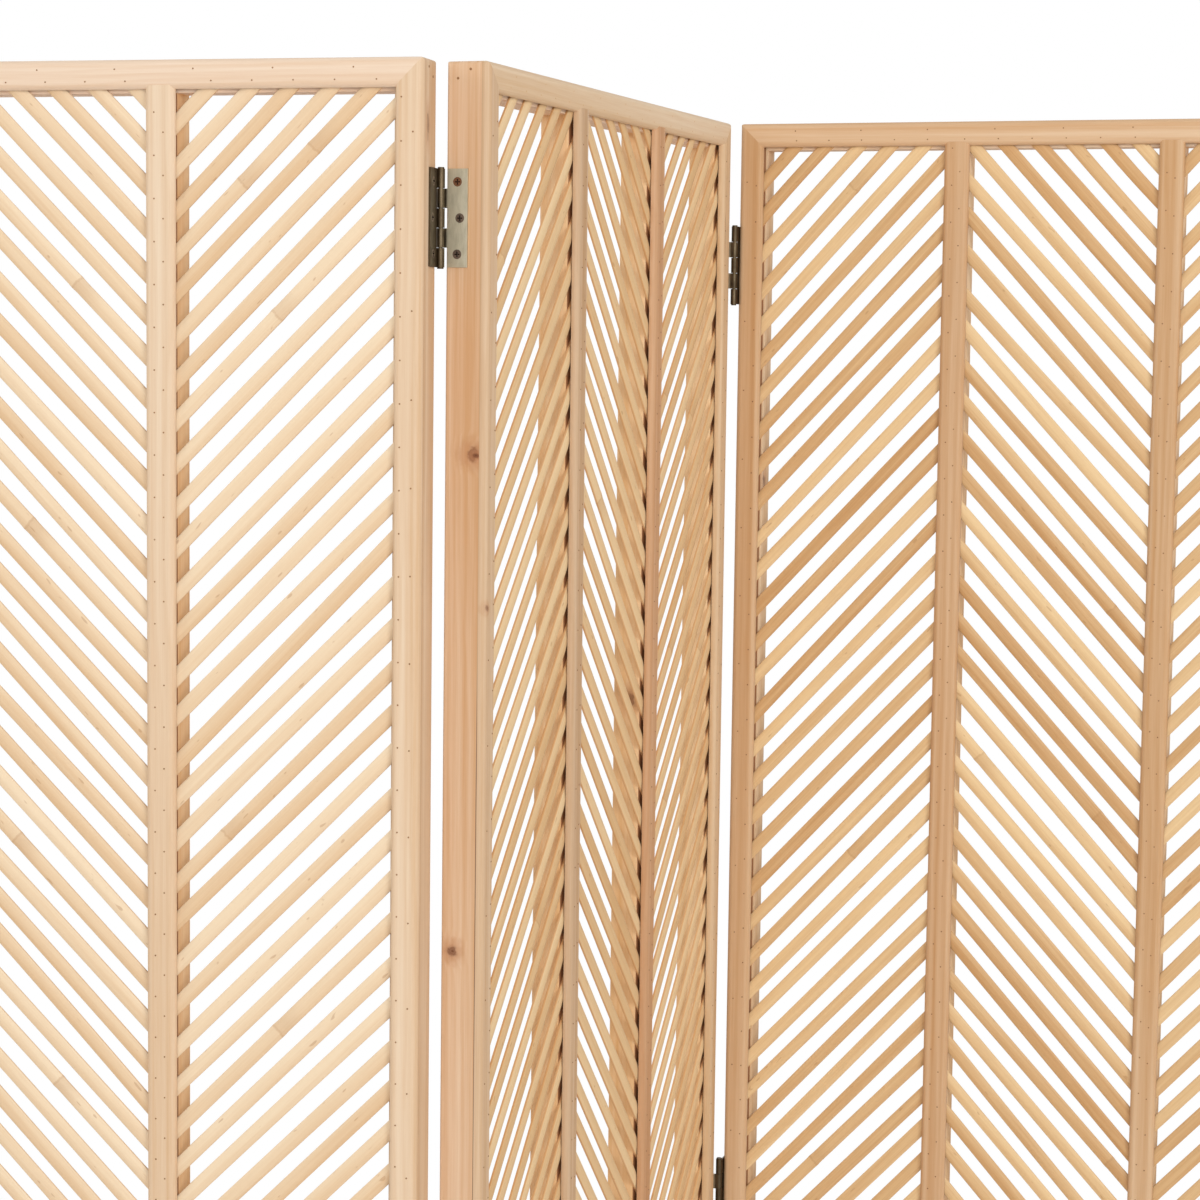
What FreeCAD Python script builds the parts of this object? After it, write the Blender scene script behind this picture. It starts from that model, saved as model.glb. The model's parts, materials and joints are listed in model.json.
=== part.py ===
import FreeCAD, Part
import math
import os

from FreeCAD import Placement, Rotation, Vector

# A folding screen of three slatted panels that stand in a zigzag on two rows of butt hinges.
# Lengths are in millimetres. In a panel's own frame x runs to the right as seen from the front,
# y runs to the back, z runs up, and the back of the frame lies in the plane y = 0.

# Frame of one panel
panel_height = 1700.0
panel_width = 500.0
frame_width = 20.0
frame_depth = 23.0
edge_radius = 1.5
corner_radius = 2.5

# Slats, and the clearance that they lie with in the frame's rebate
slat_width = 9.5
slat_thickness = 2.6
slat_crown = 1.3
slat_pitch = 27.0
slat_angles = {"left": 44.8, "middle": 46.0, "right": 47.4}
slat_front_clearance = 0.4
slat_end_clearance = 0.5
shortest_slat = 24.0
rebate_land = 9.0

# Upright battens that carry the slat ends between the columns
batten_width = 18.0

# Rounded strips that cover the slat ends on the front
cover_width = 18.0
mullion_cover_width = 19.0
cover_thickness = 5.0
cover_side = 1.0
cope_share = 0.6

# Brads through the covers and the slat ends
brad_radius = 0.5
brad_length = 18.0
brad_inset = 4.6
brad_pair_gap = 6.0
outer_brad_inset = 6.0
outer_brad_spacing = 54.0
nail_head_stand = 0.15

# Nails through each stile into the ends of the rails
corner_nail_radius = 0.8
corner_nail_length = 40.0
corner_nail_drop_shares = (0.25, 0.52)
corner_nail_depth_shares = (0.67, 0.31)

# Butt hinges
hinge_length = 60.0
barrel_radius = 2.5
barrel_face_gap = 0.2
leaf_thickness = 1.2
leaf_reach = 14.5
knuckle_count = 5
knuckle_clearance = 0.3
notch_clearance = 1.6
pin_radius = 1.25
pin_clearance = 0.05
pin_head_radius = 2.0
pin_head_height = 0.9

# Countersunk screws of the hinges
screw_head_radius = 2.9
screw_shank_radius = 1.4
screw_tip_length = 3.0
screw_tip_clearance = 0.4
screw_fit_clearance = 0.05
screw_recess_length = 3.4
screw_recess_width = 0.8
screw_recess_depth = 0.8
screw_spread = 22.0
screw_inset = 7.7
middle_screw_inset = 9.4

# How the hinges sit on the panels and how far the panels are folded
left_hinge_drop = 65.0
right_hinge_drop = 79.0
middle_turn = 70.3
left_fold = 83.8
right_fold = 88.6

# One overrun serves all cuts
overrun = 1.0

# Which way the slats of each column rise. The columns were laid by eye, so each has its own share
# of the pitch, and its own start below the top in pitches.
slat_leans = (1, -1, 1)
slat_pitch_shares = {
    "left": (0.975, 0.975, 0.975),
    "middle": (1.0, 1.01, 0.98),
    "right": (1.03, 1.03, 1.03),
}
slat_start_shares = {
    "left": (0.6, 0.3, 0.78),
    "middle": (0.41, 0.15, 0.11),
    "right": (0.74, 0.39, 0.55),
}

rebate_depth = slat_thickness + slat_front_clearance
seat_depth = frame_depth - rebate_depth
cover_round = cover_thickness - cover_side
panel_depth = frame_depth + cover_thickness
clear_width = panel_width - 2 * cover_width - 2 * mullion_cover_width
column_width = clear_width / 3
mullion_offset = cover_width + column_width + mullion_cover_width / 2
mullion_places = (mullion_offset, panel_width - mullion_offset)
barrel_offset = barrel_radius + barrel_face_gap
screw_length = leaf_thickness + rebate_land - screw_tip_clearance

right = Vector(1, 0, 0)
back = Vector(0, 1, 0)
up = Vector(0, 0, 1)


def box(x0, x1, y0, y1, z0, z1):
    """A box between two corners."""
    return Part.makeBox(x1 - x0, y1 - y0, z1 - z0, Vector(x0, y0, z0))


def moved(shape, placement):
    """A copy of a shape at a placement."""
    return shape.transformed(placement.toMatrix(), copy=True)


def rounded(solid, radius, belongs):
    """Rounds the straight edges whose middle point belongs to the chosen ones."""
    edges = [edge for edge in solid.Edges if belongs(edge.CenterOfMass)]
    return solid.makeFillet(radius, edges)


def near(value, target):
    """Whether two places along an axis are the same."""
    return math.isclose(value, target, abs_tol=1e-6)


# Frame

def rebate():
    """The space that is taken out of the front of the frame for the slats."""
    return box(
        rebate_land, panel_width - rebate_land,
        -frame_depth - overrun, -seat_depth,
        rebate_land, panel_height - rebate_land,
    )


def outline():
    """The room that a panel takes, with its two upper corners rounded."""
    room = box(0, panel_width, -panel_depth - overrun, overrun, 0, panel_height)
    return rounded(room, corner_radius, lambda point: near(point.z, panel_height) and (
        near(point.x, 0) or near(point.x, panel_width)))


def stile(x0, outer_x):
    """A full-height upright, with its outer back edge and its upper edges rounded."""
    solid = box(x0, x0 + frame_width, -frame_depth, 0, 0, panel_height)
    solid = rounded(solid, edge_radius, lambda point: near(point.y, 0) and (
        near(point.x, outer_x) or near(point.z, panel_height)))
    return solid.cut(rebate()).common(outline())


def rail(z0):
    """A cross member between the stiles; the upper one has its upper back edge rounded."""
    solid = box(frame_width, panel_width - frame_width, -frame_depth, 0, z0, z0 + frame_width)
    if near(z0 + frame_width, panel_height):
        solid = rounded(
            solid, edge_radius, lambda point: near(point.y, 0) and near(point.z, panel_height))
    return solid.cut(rebate())


def batten(x):
    """An upright rib behind the slats, between the rails."""
    return box(
        x - batten_width / 2, x + batten_width / 2,
        -seat_depth, 0,
        frame_width, panel_height - frame_width,
    )


# Covers

def strip(width, length):
    """A strip along z with a flat back in the plane y = 0 and rounded shoulders on the front."""
    slant = cover_round * math.sqrt(0.5)
    corner = cover_round - slant
    shoulder = cover_side + slant
    points = [
        Vector(0, 0, 0),
        Vector(0, -cover_side, 0),
        Vector(cover_round, -cover_thickness, 0),
        Vector(width - cover_round, -cover_thickness, 0),
        Vector(width, -cover_side, 0),
        Vector(width, 0, 0),
    ]
    edges = [
        Part.LineSegment(points[0], points[1]),
        Part.Arc(points[1], Vector(corner, -shoulder, 0), points[2]),
        Part.LineSegment(points[2], points[3]),
        Part.Arc(points[3], Vector(width - corner, -shoulder, 0), points[4]),
        Part.LineSegment(points[4], points[5]),
        Part.LineSegment(points[5], points[0]),
    ]
    outline = Part.Wire([edge.toShape() for edge in edges])
    return Part.Face(outline).extrude(up * length)


def mitred_cover(length):
    """A frame cover along z with its outer edge at x = 0 and both ends mitred."""
    points = [
        Vector(0, overrun, 0),
        Vector(0, overrun, length),
        Vector(cover_width, overrun, length - cover_width),
        Vector(cover_width, overrun, cover_width),
    ]
    outline = Part.makePolygon(points + points[:1])
    keep = Part.Face(outline).extrude(back * -(cover_thickness + 2 * overrun))
    return strip(cover_width, length).common(keep)


def frame_covers():
    """The four mitred covers of a panel, by name, on the front of the frame."""
    sides = (
        ("stile_cover_left", panel_height, Vector(0, -frame_depth, 0), 0),
        ("top_rail_cover", panel_width, Vector(0, -frame_depth, panel_height), 90),
        ("stile_cover_right", panel_height, Vector(panel_width, -frame_depth, panel_height), 180),
        ("bottom_rail_cover", panel_width, Vector(panel_width, -frame_depth, 0), 270),
    )
    room = outline()
    covers = {}
    for name, length, corner, turn in sides:
        cover = moved(mitred_cover(length), Placement(corner, Rotation(back, turn)))
        covers[name] = cover.common(room)
    return covers


def mullion_cover(x, rail_covers):
    """A cover in front of a batten, with both ends coped over the rounded edges of the rail covers."""
    cope = cope_share * cover_round
    low = cover_width - cope
    length = panel_height - 2 * low
    solid = strip(mullion_cover_width, length)
    solid.translate(Vector(x - mullion_cover_width / 2, -frame_depth, low))
    return solid.cut(rail_covers)


# Slats

def slat_bar(length):
    """A straight slat along x, flat on its back and crowned on its front, about the origin."""
    side = slat_thickness - slat_crown
    half = slat_width / 2
    points = [
        Vector(0, 0, -half),
        Vector(0, -side, -half),
        Vector(0, -slat_thickness, 0),
        Vector(0, -side, half),
        Vector(0, 0, half),
    ]
    edges = [
        Part.LineSegment(points[0], points[1]),
        Part.Arc(points[1], points[2], points[3]),
        Part.LineSegment(points[3], points[4]),
        Part.LineSegment(points[4], points[0]),
    ]
    outline = Part.Wire([edge.toShape() for edge in edges])
    bar = Part.Face(outline).extrude(right * length)
    bar.translate(right * (-length / 2))
    return bar


def column_ends(column):
    """Where the slats of a column end, left and right."""
    left_wall = rebate_land + slat_end_clearance
    lefts = (left_wall, *(place + slat_end_clearance / 2 for place in mullion_places))
    rights = (*(place - slat_end_clearance / 2 for place in mullion_places), panel_width - left_wall)
    return lefts[column], rights[column]


def brad_lines(column):
    """The upright lines of brads that hold the two ends of a column's slats."""
    edge_line = cover_width - brad_inset
    lefts = (edge_line, *(place + brad_pair_gap / 2 for place in mullion_places))
    rights = (*(place - brad_pair_gap / 2 for place in mullion_places), panel_width - edge_line)
    return lefts[column], rights[column]


def slat_lines(panel, column):
    """The height of each slat's middle, over more than the whole height of a column."""
    x0, x1 = column_ends(column)
    reach = (x1 - x0) * math.tan(math.radians(slat_angles[panel])) / 2
    pitch = slat_pitch * slat_pitch_shares[panel][column]
    start = panel_height - pitch * slat_start_shares[panel][column]
    above = math.ceil(reach / pitch)
    below = math.ceil((panel_height + reach) / pitch)
    return [start - step * pitch for step in range(-above, below)]


def clipped(panel, column, middle, x0, x1, z0, z1):
    """The two ends of a slat's middle line inside a rectangle, or nothing where it passes outside."""
    slope = slat_leans[column] * math.tan(math.radians(slat_angles[panel]))
    centre = sum(column_ends(column)) / 2
    at_floor = centre + (z0 - middle) / slope
    at_ceiling = centre + (z1 - middle) / slope
    low_x = max(x0, min(at_floor, at_ceiling))
    high_x = min(x1, max(at_floor, at_ceiling))
    if low_x >= high_x:
        return None
    return [(x, middle + slope * (x - centre)) for x in (low_x, high_x)]


def kept_lines(panel, column):
    """The slat lines of a column that are long enough to be worth a slat."""
    x0, x1 = column_ends(column)
    low = rebate_land + slat_end_clearance
    kept = []
    for middle in slat_lines(panel, column):
        ends = clipped(panel, column, middle, x0, x1, low, panel_height - low)
        if ends and math.dist(*ends) >= shortest_slat:
            kept.append(middle)
    return kept


def column_slats(panel, column):
    """The slats of one column, cut upright at their sides and level at the rails."""
    x0, x1 = column_ends(column)
    low = rebate_land + slat_end_clearance
    high = panel_height - low
    angle = slat_angles[panel]
    cosine = math.cos(math.radians(angle))
    rise = (x1 - x0) * math.tan(math.radians(angle)) + slat_width / cosine
    bar = slat_bar((x1 - x0) / cosine + 2 * slat_width)
    lean = Rotation(back, -slat_leans[column] * angle)
    bar = moved(bar, Placement(Vector((x0 + x1) / 2, -seat_depth, 0), lean))
    bar = bar.common(box(x0, x1, -frame_depth, 0, -rise, rise))
    field = box(x0, x1, -frame_depth, 0, low, high)
    slats = []
    for middle in kept_lines(panel, column):
        slat = moved(bar, Placement(up * middle, Rotation()))
        if middle - rise / 2 < low or middle + rise / 2 > high:
            slat = slat.common(field)
        slats.append(slat)
    return slats


# Nails

def brad(x, z):
    """A brad that is driven into the front of a cover."""
    head = Vector(x, -panel_depth - nail_head_stand, z)
    return Part.makeCylinder(brad_radius, brad_length, head, back)


def spaced(length):
    """Evenly spaced places along a cover, clear of its mitred ends."""
    count = max(2, round((length - 2 * cover_width) / outer_brad_spacing))
    step = (length - 2 * cover_width) / count
    return [cover_width + (place + 0.5) * step for place in range(count)]


def beside_hinge(z):
    """Whether a height on a stile lies within the length of a hinge."""
    heights = hinge_heights(left_hinge_drop) + hinge_heights(right_hinge_drop)
    return any(abs(z - height) < hinge_length / 2 for height in heights)


def panel_brads(panel):
    """One brad at each end of each slat, and a wider row outside that leaves out the hinges."""
    low = cover_width - brad_inset
    brads = []
    for column in range(len(slat_leans)):
        x0, x1 = brad_lines(column)
        for middle in kept_lines(panel, column):
            ends = clipped(panel, column, middle, x0, x1, low, panel_height - low)
            brads += [brad(x, z) for x, z in ends or ()]
    for z in spaced(panel_height):
        if not beside_hinge(z):
            brads += [brad(outer_brad_inset, z), brad(panel_width - outer_brad_inset, z)]
    for x in spaced(panel_width):
        brads += [brad(x, outer_brad_inset), brad(x, panel_height - outer_brad_inset)]
    return brads


def corner_nails():
    """The nails through both stiles into the ends of both rails."""
    nails = []
    for drop_share, depth_share in zip(corner_nail_drop_shares, corner_nail_depth_shares):
        drop = drop_share * frame_width
        y = -depth_share * frame_depth
        for z in (drop, panel_height - drop):
            left_head = Vector(-nail_head_stand, y, z)
            right_head = Vector(panel_width + nail_head_stand, y, z)
            nails.append(Part.makeCylinder(corner_nail_radius, corner_nail_length, left_head, right))
            nails.append(Part.makeCylinder(corner_nail_radius, corner_nail_length, right_head, -right))
    return nails


def panel_pieces(panel):
    """All pieces of one panel in its own frame, as lists of solids by name."""
    covers = frame_covers()
    rail_covers = [covers["top_rail_cover"], covers["bottom_rail_cover"]]
    pieces = {
        "stile_left": [stile(0, 0)],
        "stile_right": [stile(panel_width - frame_width, panel_width)],
        "top_rail": [rail(panel_height - frame_width)],
        "bottom_rail": [rail(0)],
        "batten_left": [batten(mullion_places[0])],
        "batten_right": [batten(mullion_places[1])],
        "mullion_cover_left": [mullion_cover(mullion_places[0], rail_covers)],
        "mullion_cover_right": [mullion_cover(mullion_places[1], rail_covers)],
        "brads": panel_brads(panel),
        "corner_nails": corner_nails(),
    }
    for name, cover in covers.items():
        pieces[name] = [cover]
    for column, name in enumerate(("slats_left", "slats_middle", "slats_right")):
        pieces[name] = column_slats(panel, column)
    return pieces


# Hinges, each about its pin axis, with the leaf's mounting face to the right and its plate to the front

def screw_places():
    """Where the screws of a leaf sit, as distances from the pin axis and from the middle."""
    edge_line = barrel_offset + screw_inset
    middle_line = barrel_offset + middle_screw_inset
    return ((edge_line, screw_spread), (middle_line, 0), (edge_line, -screw_spread))


def countersink(head_radius, shank_radius, length, tip_length):
    """A countersunk shape along x from the face of the head, turned about its axis."""
    cone = head_radius - shank_radius
    points = [
        Vector(0, 0, 0),
        Vector(0, head_radius, 0),
        Vector(cone, shank_radius, 0),
        Vector(length - tip_length, shank_radius, 0),
        Vector(length, 0, 0),
    ]
    if near(tip_length, 0):
        points[4:] = [Vector(length, shank_radius, 0), Vector(length, 0, 0)]
    outline = Part.makePolygon(points + points[:1])
    return Part.Face(outline).revolve(Vector(0, 0, 0), right, 360)


def screw():
    """A countersunk screw along x with a cross recess in its head."""
    solid = countersink(screw_head_radius, screw_shank_radius, screw_length, screw_tip_length)
    half_length = screw_recess_length / 2
    half_width = screw_recess_width / 2
    level = box(-overrun, screw_recess_depth, -half_length, half_length, -half_width, half_width)
    upright = box(-overrun, screw_recess_depth, -half_width, half_width, -half_length, half_length)
    return solid.cut(level.fuse(upright))


def knuckle(length):
    """A rolled knuckle along z with its bore and the neck that joins it to the plate."""
    inner_x = barrel_radius - leaf_thickness
    plate_edge = -(barrel_radius + notch_clearance)
    roll_end = -math.sqrt(barrel_radius**2 - inner_x**2)
    points = [
        Vector(barrel_radius, plate_edge, 0),
        Vector(barrel_radius, 0, 0),
        Vector(inner_x, roll_end, 0),
        Vector(inner_x, plate_edge, 0),
    ]
    edges = [
        Part.LineSegment(points[0], points[1]),
        Part.Arc(points[1], Vector(-barrel_radius, 0, 0), points[2]),
        Part.LineSegment(points[2], points[3]),
        Part.LineSegment(points[3], points[0]),
    ]
    outline = Part.Wire([edge.toShape() for edge in edges])
    bore = Part.Wire(Part.makeCircle(pin_radius + pin_clearance))
    return Part.makeFace([outline, bore], "Part::FaceMakerBullseye").extrude(up * length)


def leaf(slots):
    """A leaf with knuckles in the given slots, about the middle of the pin."""
    half = hinge_length / 2
    knuckle_step = (hinge_length + knuckle_clearance) / knuckle_count
    solid = box(
        barrel_radius - leaf_thickness, barrel_radius,
        -(barrel_offset + leaf_reach), -(barrel_radius + notch_clearance),
        -half, half,
    )
    for slot in slots:
        roll = knuckle(knuckle_step - knuckle_clearance)
        roll.translate(up * (slot * knuckle_step - half))
        solid = solid.fuse(roll)
    hole = countersink(
        screw_head_radius + screw_fit_clearance, screw_shank_radius + screw_fit_clearance,
        leaf_thickness + overrun, 0,
    )
    for distance, height in screw_places():
        solid = solid.cut(moved(hole, screw_place(distance, height)))
    return solid.removeSplitter()


def screw_place(distance, height):
    """The placement of a screw in a leaf, with its head in the leaf's open face."""
    return Placement(Vector(barrel_radius - leaf_thickness, -distance, height), Rotation())


def pin():
    """A hinge pin with a flat head at each end."""
    half = hinge_length / 2
    solid = Part.makeCylinder(pin_radius, hinge_length, up * -half)
    upper_head = Part.makeCylinder(pin_head_radius, pin_head_height, up * half)
    lower_head = Part.makeCylinder(pin_head_radius, pin_head_height, up * -(half + pin_head_height))
    return solid.fuse([upper_head, lower_head]).removeSplitter()


def hinge_heights(drop):
    """The middles of the upper, the middle and the lower hinge."""
    upper = panel_height - drop - hinge_length / 2
    return (upper, panel_height / 2, panel_height - upper)


def hinge_row(shape, place, drop, axis, turn):
    """Copies of a hinge piece at the three heights, about a pin axis at one edge of a placed panel."""
    seats = [Placement(axis + up * height, turn) for height in hinge_heights(drop)]
    return [moved(shape, place.multiply(seat)) for seat in seats]


def screw_rows(*edge):
    """The screws of the three leaves at one edge of a placed panel."""
    screws = []
    for distance, height in screw_places():
        screws += hinge_row(moved(screw(), screw_place(distance, height)), *edge)
    return screws


# Assembly: the pins of the left junction stand behind the panels, those of the right one in front

rear_left_pin = Vector(-barrel_radius, barrel_offset, 0)
rear_right_pin = Vector(panel_width + barrel_radius, barrel_offset, 0)
front_left_pin = Vector(-barrel_radius, -panel_depth - barrel_offset, 0)
front_right_pin = Vector(panel_width + barrel_radius, -panel_depth - barrel_offset, 0)

as_made = Rotation()
about_x = Rotation(right, 180)
about_y = Rotation(back, 180)
about_z = Rotation(up, 180)

outer_leaf = leaf(range(0, knuckle_count, 2))
middle_leaf = leaf(range(1, knuckle_count, 2))

middle_place = Placement(Vector(0, 0, 0), Rotation(up, middle_turn))
left_rotation = Rotation(up, middle_turn - left_fold)
left_place = Placement(
    middle_place.multVec(rear_left_pin) - left_rotation.multVec(rear_right_pin), left_rotation)
right_rotation = Rotation(up, middle_turn - right_fold)
right_place = Placement(
    middle_place.multVec(front_right_pin) - right_rotation.multVec(front_left_pin), right_rotation)
places = {"left": left_place, "middle": middle_place, "right": right_place}

nodes = {}
for panel, place in places.items():
    for name, solids in panel_pieces(panel).items():
        nodes[f"{panel}_{name}"] = [moved(solid, place) for solid in solids]

# Each edge that carries leaves: its panel's place, the drop of its hinges, its pin axis and their turn
left_outer_edge = (left_place, left_hinge_drop, rear_right_pin, about_y)
left_middle_edge = (middle_place, left_hinge_drop, rear_left_pin, as_made)
right_outer_edge = (right_place, right_hinge_drop, front_left_pin, about_x)
right_middle_edge = (middle_place, right_hinge_drop, front_right_pin, about_z)

nodes["left_hinge_outer_leaves"] = hinge_row(outer_leaf, *left_outer_edge)
nodes["left_hinge_middle_leaves"] = hinge_row(middle_leaf, *left_middle_edge)
nodes["left_hinge_pins"] = hinge_row(pin(), *left_outer_edge)
nodes["left_hinge_screws"] = screw_rows(*left_outer_edge)
nodes["right_hinge_outer_leaves"] = hinge_row(outer_leaf, *right_outer_edge)
nodes["right_hinge_middle_leaves"] = hinge_row(middle_leaf, *right_middle_edge)
nodes["right_hinge_pins"] = hinge_row(pin(), *right_outer_edge)
nodes["right_hinge_screws"] = screw_rows(*right_outer_edge)
nodes["middle_hinge_screws"] = screw_rows(*left_middle_edge) + screw_rows(*right_middle_edge)

# The origin is on the floor, under the middle of the standing screen
everything = Part.makeCompound([solid for solids in nodes.values() for solid in solids])
outer_box = everything.optimalBoundingBox()
to_origin = Placement(-Vector(outer_box.Center.x, outer_box.Center.y, outer_box.ZMin), Rotation())

os.makedirs("parts", exist_ok=True)
for name, solids in nodes.items():
    placed = [moved(solid, to_origin) for solid in solids]
    shape = placed[0] if len(placed) == 1 else Part.makeCompound(placed)
    shape.exportStep(f"parts/{name}.step")
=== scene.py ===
import json
import math
import random

import bpy
from mathutils import Matrix, Vector

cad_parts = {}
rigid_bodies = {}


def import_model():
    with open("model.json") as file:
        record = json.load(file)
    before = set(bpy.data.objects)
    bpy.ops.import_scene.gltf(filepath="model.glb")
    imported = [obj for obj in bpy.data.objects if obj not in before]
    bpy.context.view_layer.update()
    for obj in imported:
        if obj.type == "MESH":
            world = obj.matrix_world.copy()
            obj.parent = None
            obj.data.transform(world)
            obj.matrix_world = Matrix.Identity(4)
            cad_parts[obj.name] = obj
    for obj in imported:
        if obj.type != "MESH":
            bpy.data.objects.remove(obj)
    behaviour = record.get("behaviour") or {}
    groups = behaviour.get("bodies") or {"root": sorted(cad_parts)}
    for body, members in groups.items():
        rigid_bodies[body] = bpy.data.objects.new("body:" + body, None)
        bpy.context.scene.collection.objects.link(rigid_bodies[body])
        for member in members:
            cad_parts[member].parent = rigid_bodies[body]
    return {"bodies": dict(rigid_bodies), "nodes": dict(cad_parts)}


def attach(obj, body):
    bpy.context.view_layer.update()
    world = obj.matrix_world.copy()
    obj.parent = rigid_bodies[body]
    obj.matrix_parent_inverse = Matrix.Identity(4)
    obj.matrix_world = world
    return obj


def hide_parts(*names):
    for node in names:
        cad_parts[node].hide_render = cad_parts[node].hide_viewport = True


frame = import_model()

# The looks of a three-panel folding screen. Lengths are in metres. In a panel's own frame x runs
# to the right as seen from the front, y to the back and z up, and the frame's back lies at y = 0.

nodes = frame["nodes"]
kept = set(nodes.values()) | set(frame["bodies"].values())
for left_over in [obj for obj in bpy.data.objects if obj not in kept]:
    bpy.data.objects.remove(left_over)
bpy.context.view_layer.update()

# Where each panel stands: its own origin on the floor and its turn about the upright
PANEL_PLACES = {
    "left": ((-0.585771, -0.117170), -13.5),
    "middle": ((-0.093140, -0.230409), 70.3),
    "right": ((0.117166, 0.260694), -18.3),
}
PIN_AXES = {"left": (-0.096525, -0.231853), "right": (0.105153, 0.232331)}
PANEL_HEIGHT = 1.7
FRAME_DEPTH = 0.023

# How the slats lie in a panel
SLAT_WIDTH = 0.0095
SLAT_THICKNESS = 0.0026
SLAT_BACK = -0.02005
SLAT_PITCH = 0.027
SLAT_ANGLES = {"left": math.radians(44.8), "middle": math.radians(46), "right": math.radians(47.4)}
SLAT_LEANS = (1, -1, 1)
SHORTEST_SLAT = 0.024
COLUMN_ENDS = ((0.0095, 0.16925), (0.16975, 0.33025), (0.33075, 0.4905))
FIELD_LOW, FIELD_HIGH = 0.0095, 1.6905
PITCH_SHARES = {
    "left": (0.975, 0.975, 0.975),
    "middle": (1.0, 1.01, 0.98),
    "right": (1.03, 1.03, 1.03),
}
START_SHARES = {
    "left": (0.6, 0.3, 0.78),
    "middle": (0.41, 0.15, 0.11),
    "right": (0.74, 0.39, 0.55),
}


def srgb(red, green, blue):
    """A colour that is written as it shows, as the linear colour that a shader takes."""
    def linear(value):
        value /= 255
        return value / 12.92 if value <= 0.04045 else ((value + 0.055) / 1.055) ** 2.4
    return (linear(red), linear(green), linear(blue), 1.0)


class Graph:
    """Adds shader nodes to a new material, and gives back their outputs."""

    def __init__(self, name):
        self.material = bpy.data.materials.new(name)
        self.material.use_nodes = True
        self.tree = self.material.node_tree
        self.shader = self.tree.nodes["Principled BSDF"]

    def put(self, socket, value):
        if isinstance(value, bpy.types.NodeSocket):
            self.tree.links.new(value, socket)
        else:
            socket.default_value = value

    def node(self, kind, values=(), **settings):
        made = self.tree.nodes.new(kind)
        for key, value in settings.items():
            setattr(made, key, value)
        for key, value in dict(values).items():
            self.put(made.inputs[key], value)
        return made

    def math(self, operation, *values, clamp=False):
        made = self.node("ShaderNodeMath", operation=operation, use_clamp=clamp)
        for socket, value in zip(made.inputs, values):
            self.put(socket, value)
        return made.outputs[0]

    def centred(self, value, share):
        """A noise about zero, at a share of its strength."""
        return self.math("MULTIPLY", self.math("SUBTRACT", value, 0.5), share)

    def vector(self, operation, *values):
        made = self.node("ShaderNodeVectorMath", operation=operation)
        for socket, value in zip(made.inputs, values):
            self.put(socket, value)
        return made.outputs["Value" if operation == "LENGTH" else "Vector"]

    def split(self, vector):
        return self.node("ShaderNodeSeparateXYZ", {"Vector": vector}).outputs

    def join(self, x, y, z):
        return self.node("ShaderNodeCombineXYZ", {"X": x, "Y": y, "Z": z}).outputs[0]

    def attribute(self, name, output="Fac"):
        return self.node("ShaderNodeAttribute", attribute_name=name).outputs[output]

    def noise(self, vector, detail, output="Fac"):
        values = {"Vector": vector, "Scale": 1.0, "Detail": detail, "Roughness": 0.5}
        return self.node("ShaderNodeTexNoise", values).outputs[output]

    def ramp(self, value, low, high, to_low=0.0, to_high=1.0):
        """A smooth step of a value from low to high, and what it gives at each."""
        values = {"Value": value, "From Min": low, "From Max": high, "To Min": to_low, "To Max": to_high}
        return self.node("ShaderNodeMapRange", values, interpolation_type="SMOOTHSTEP").outputs[0]

    def mix(self, factor, a, b):
        made = self.node("ShaderNodeMix", data_type="RGBA")
        for index, value in ((0, factor), (6, a), (7, b)):
            self.put(made.inputs[index], value)
        return made.outputs[2]

    def look(self, colour, roughness):
        self.put(self.shader.inputs["Base Color"], colour)
        self.put(self.shader.inputs["Roughness"], roughness)

    def bump(self, heights, distance, strength):
        """Raises the surface by a sum of values, each with its share."""
        parts = [self.math("MULTIPLY", value, share) for value, share in heights]
        values = {"Height": self.math("ADD", *parts), "Distance": distance, "Strength": strength}
        self.put(self.shader.inputs["Normal"], self.node("ShaderNodeBump", values).outputs[0])

    def panel_point(self, panel):
        """The shaded point in a panel's own frame."""
        (x, y), turn = PANEL_PLACES[panel]
        point = self.node("ShaderNodeTexCoord").outputs["Object"]
        mapping = self.node("ShaderNodeMapping", {
            "Vector": point, "Location": (x, y, 0.0), "Rotation": (0.0, 0.0, math.radians(turn)),
        }, vector_type="TEXTURE")
        return mapping.outputs[0]


# Wood. A streak is written as its scales across and along the grain and its detail, and a ramp as
# the two values that it runs between and what it gives at each.

WOOD_FIBRE, FIBRE_SHARE = (1300.0, 30.0, 3.0), 0.4
WOOD_LINES, LINES_SHARE = (420.0, 4.0, 2.0), 0.55
WOOD_BROAD, BROAD_SHARE = (120.0, 1.0, 2.0), 1.3
WOOD_PATCH, PATCH_SHARE = (16.0, 1.8, 1.0), 0.9
WOOD_SWAY, SWAY_REACH = (22.0, 2.6, 2.0), 0.034
WOOD_RIPPLE, RIPPLE_REACH = (60.0, 7.0, 2.0), 0.004
GRAIN_SHIFT = 20
PITH_ANGLES = (0.2, 1.3)
PITH_REACHES = (0.05, 0.12)
RING_TAPER = 0.004
RING_SPACINGS = (0.0042, 0.0066)
RING_DARKENS, RING_PALES = (0.05, 0.75), (1.0, 0.8)
LATE_SHARE = 0.12
SHADE_MIDDLE = 0.42
PALE_SHARE = 0.30
DEEP_SHARES = (0.93, 0.89, 0.85)
WOOD_ROUGHNESS = (0.2, 0.8, 0.5, 0.66)
WOOD_SPECULAR = 0.25
FIBRE_HEIGHT, LATE_HEIGHT = 0.7, 0.3
WOOD_BUMP = (0.00012, 0.5)

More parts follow.
